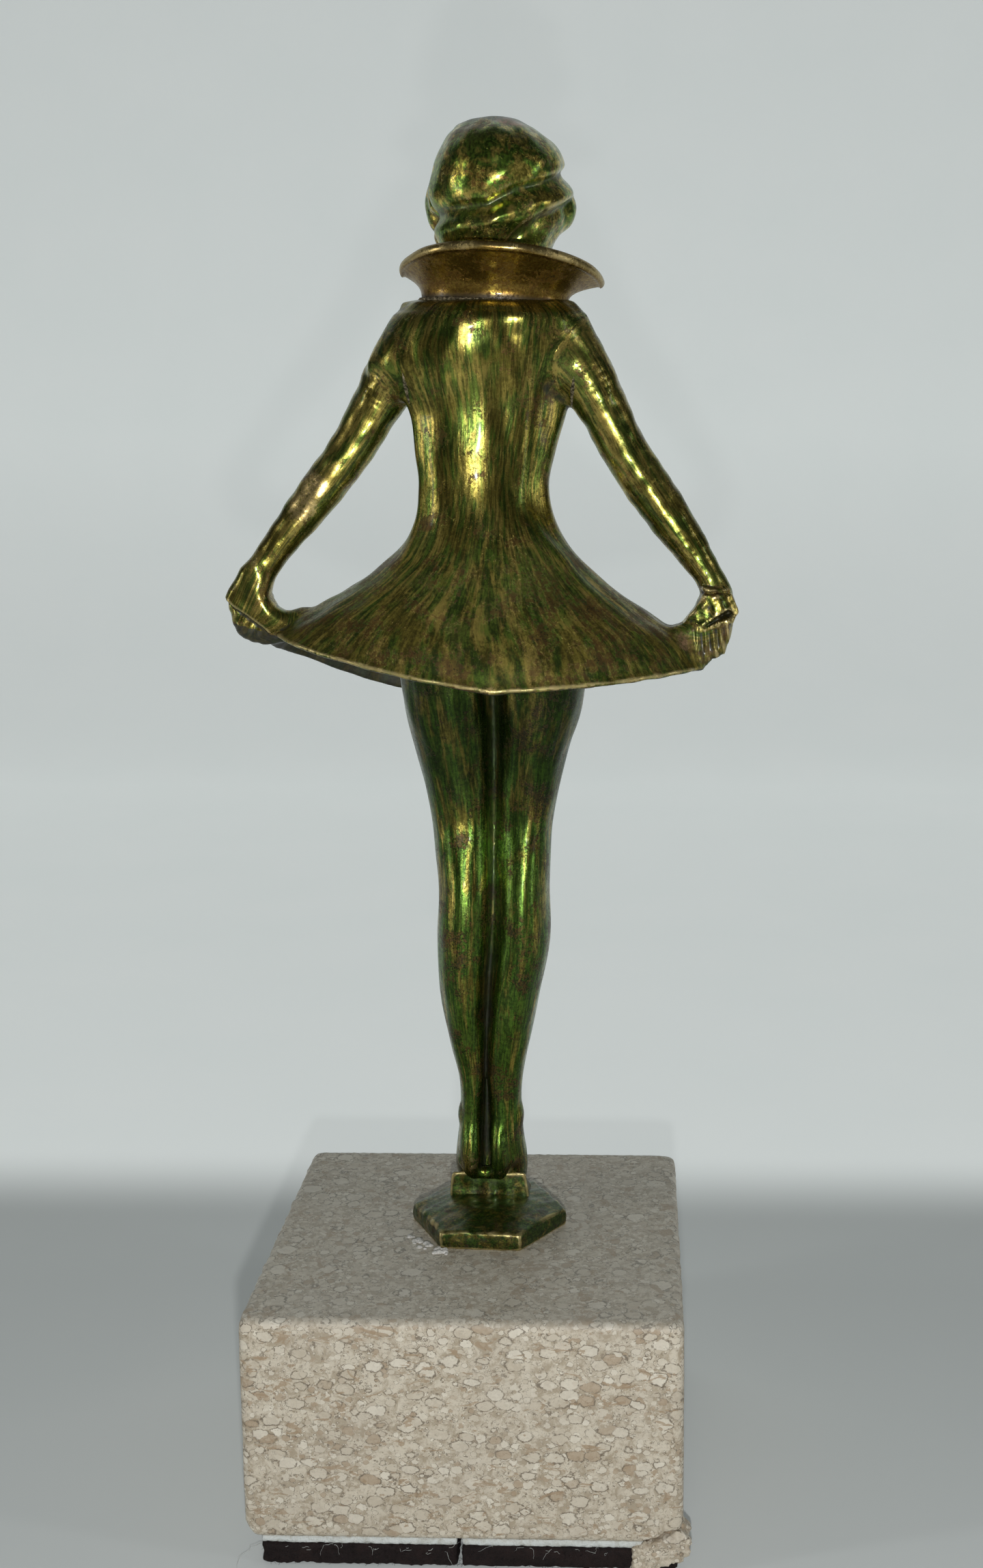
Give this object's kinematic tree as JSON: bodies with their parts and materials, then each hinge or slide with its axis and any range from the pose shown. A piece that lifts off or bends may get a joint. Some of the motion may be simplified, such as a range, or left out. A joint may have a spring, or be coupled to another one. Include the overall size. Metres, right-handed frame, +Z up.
{
  "type": "bronze statuette of a dancer on a stone block",
  "caption": "Cast bronze dancer in a waved bob and stand-up collar, holding out her short skirt, on a hexagonal plinth bolted to a square limestone block with felt pads.",
  "frame": {"origin": "centre of the underside of the felt pads, on the surface the statuette stands on", "axes": "+Z up; the figure faces -Y, so her left hand is on the +X side"},
  "size_m": [0.0906, 0.0755, 0.2445],
  "materials": {
    "bronze_patina": "green and gold lacquered patina, brushed",
    "bronze_collar": "golden brown patina, smooth",
    "braze_metal": "gritty brazing metal, dulled",
    "limestone": null,
    "felt": "dark brown felt with lint",
    "pad_backing": "white self-adhesive foam backing",
    "steel": "zinc plated"
  },
  "bodies": {
    "root": {"stone_base": "limestone", "corner_chip": "limestone", "felt_pad_left": "felt", "felt_pad_right": "felt", "pad_backing_left": "pad_backing", "pad_backing_right": "pad_backing", "hex_plinth": "bronze_patina", "foot_wedge": "bronze_patina", "legs": "bronze_patina", "dress": "bronze_patina", "collar": "bronze_collar", "head": "bronze_patina", "left_arm": "bronze_patina", "right_arm": "bronze_patina", "neck_dowel": "steel", "left_shoulder_dowel": "steel", "right_shoulder_dowel": "steel", "hip_stud": "steel", "left_hand_rivet": "braze_metal", "right_hand_rivet": "braze_metal", "mounting_stud": "steel", "washer": "steel", "spring_washer": "steel", "fixing_nut": "steel", "collar_braze": "braze_metal", "left_armpit_braze": "braze_metal", "right_armpit_braze": "braze_metal"}
  },
  "joints": []
}
